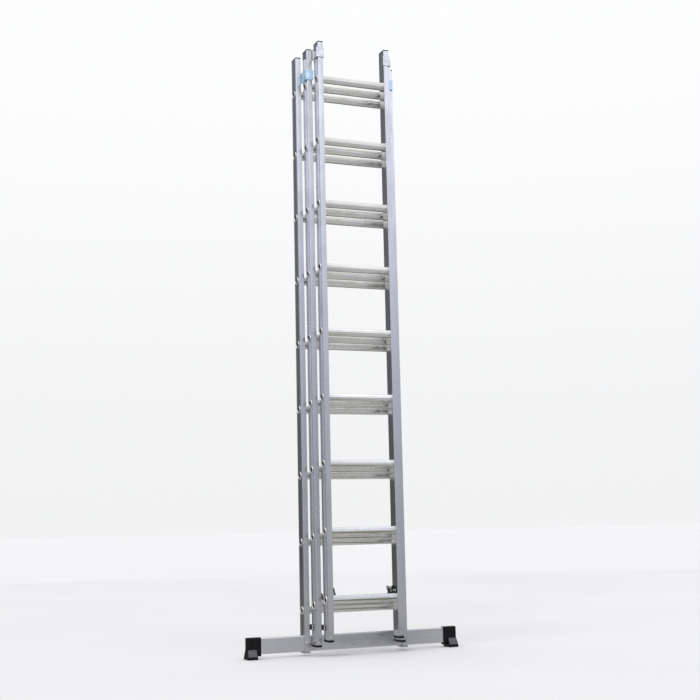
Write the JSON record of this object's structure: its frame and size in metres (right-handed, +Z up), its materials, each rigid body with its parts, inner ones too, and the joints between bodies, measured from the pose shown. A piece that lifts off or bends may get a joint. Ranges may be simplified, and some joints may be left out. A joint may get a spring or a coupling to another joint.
{
  "type": "extension ladder",
  "caption": "Triple push-up aluminium ladder, closed: nested box-stile sections with ribbed rungs, rung latches, guides and a wide stabiliser bar on rubber feet.",
  "frame": {"origin": "on the ground, midway between the stiles and in the middle of the middle section's stiles", "axes": "+X along the rungs to the user's right, +Y to the back (base section), +Z up along the stiles; the sections extend along +Z"},
  "size_m": [0.852, 0.157, 2.353],
  "materials": {
    "stile_aluminium": "satin extruded",
    "rung_aluminium": "ribbed satin extrusion",
    "bar_aluminium": "satin extruded",
    "guide_steel": "bright zinc plated",
    "fastener_steel": "bright zinc plated",
    "pawl_zinc": "blue-white zinc plated",
    "housing_black": "black semi-gloss",
    "spring_steel": "bright wire",
    "cap_rubber": "matt moulded",
    "boot_rubber": "grained moulded",
    "plug_grey": "moulded",
    "shoe_nylon": "moulded nylon"
  },
  "bodies": {
    "base_section": {"base_stile_left": "stile_aluminium", "base_stile_right": "stile_aluminium", "base_rung_1": "rung_aluminium", "base_rung_2": "rung_aluminium", "base_rung_3": "rung_aluminium", "base_rung_4": "rung_aluminium", "base_rung_5": "rung_aluminium", "base_rung_6": "rung_aluminium", "base_rung_7": "rung_aluminium", "base_rung_8": "rung_aluminium", "base_rung_9": "rung_aluminium", "base_rivets": "fastener_steel", "base_guide_left": "guide_steel", "base_guide_right": "guide_steel", "base_plugs": "plug_grey", "stabiliser_bar": "bar_aluminium", "stabiliser_boot_left": "boot_rubber", "stabiliser_boot_right": "boot_rubber", "stabiliser_bolts": "fastener_steel", "base_caps": "cap_rubber"},
    "middle_section": {"middle_stile_left": "stile_aluminium", "middle_stile_right": "stile_aluminium", "middle_rung_1": "rung_aluminium", "middle_rung_2": "rung_aluminium", "middle_rung_3": "rung_aluminium", "middle_rung_4": "rung_aluminium", "middle_rung_5": "rung_aluminium", "middle_rung_6": "rung_aluminium", "middle_rung_7": "rung_aluminium", "middle_rung_8": "rung_aluminium", "middle_rung_9": "rung_aluminium", "middle_rivets": "fastener_steel", "middle_guide_left": "guide_steel", "middle_guide_right": "guide_steel", "middle_caps": "cap_rubber", "middle_shoes": "shoe_nylon", "middle_latch_springs": "spring_steel", "middle_latch_housing_left": "housing_black", "middle_latch_housing_right": "housing_black"},
    "top_section": {"top_stile_left": "stile_aluminium", "top_stile_right": "stile_aluminium", "top_rung_1": "rung_aluminium", "top_rung_2": "rung_aluminium", "top_rung_3": "rung_aluminium", "top_rung_4": "rung_aluminium", "top_rung_5": "rung_aluminium", "top_rung_6": "rung_aluminium", "top_rung_7": "rung_aluminium", "top_rung_8": "rung_aluminium", "top_rung_9": "rung_aluminium", "top_rivets": "fastener_steel", "top_caps": "cap_rubber", "top_shoes": "shoe_nylon", "top_latch_springs": "spring_steel", "top_latch_housing_left": "housing_black", "top_latch_housing_right": "housing_black"},
    "middle_latch_left": {"middle_pawl_left": "pawl_zinc"},
    "middle_latch_right": {"middle_pawl_right": "pawl_zinc"},
    "top_latch_left": {"top_pawl_left": "pawl_zinc"},
    "top_latch_right": {"top_pawl_right": "pawl_zinc"}
  },
  "joints": [
    {"name": "middle_slide", "type": "slide", "parent": "base_section", "child": "middle_section", "axis": [0, 0, 1], "range_m": [0, 1.5]},
    {"name": "top_slide", "type": "slide", "parent": "middle_section", "child": "top_section", "axis": [0, 0, 1], "range_m": [0, 1.5]},
    {"name": "middle_latch_left_pivot", "type": "hinge", "parent": "middle_section", "child": "middle_latch_left", "pos_m": [-0.14775, 0.024, 0.218], "axis": [1, 0, 0], "range_deg": [-22, 0], "stiffness_Nm_per_rad": 0.05, "springref_deg": 22.92},
    {"name": "middle_latch_right_pivot", "type": "hinge", "parent": "middle_section", "child": "middle_latch_right", "pos_m": [0.14775, 0.024, 0.218], "axis": [1, 0, 0], "range_deg": [-22, 0], "stiffness_Nm_per_rad": 0.05, "springref_deg": 22.92},
    {"name": "top_latch_left_pivot", "type": "hinge", "parent": "top_section", "child": "top_latch_left", "pos_m": [-0.11875, -0.024, 0.238], "axis": [1, 0, 0], "range_deg": [-22, 0], "stiffness_Nm_per_rad": 0.05, "springref_deg": 22.92},
    {"name": "top_latch_right_pivot", "type": "hinge", "parent": "top_section", "child": "top_latch_right", "pos_m": [0.11875, -0.024, 0.238], "axis": [1, 0, 0], "range_deg": [-22, 0], "stiffness_Nm_per_rad": 0.05, "springref_deg": 22.92}
  ]
}
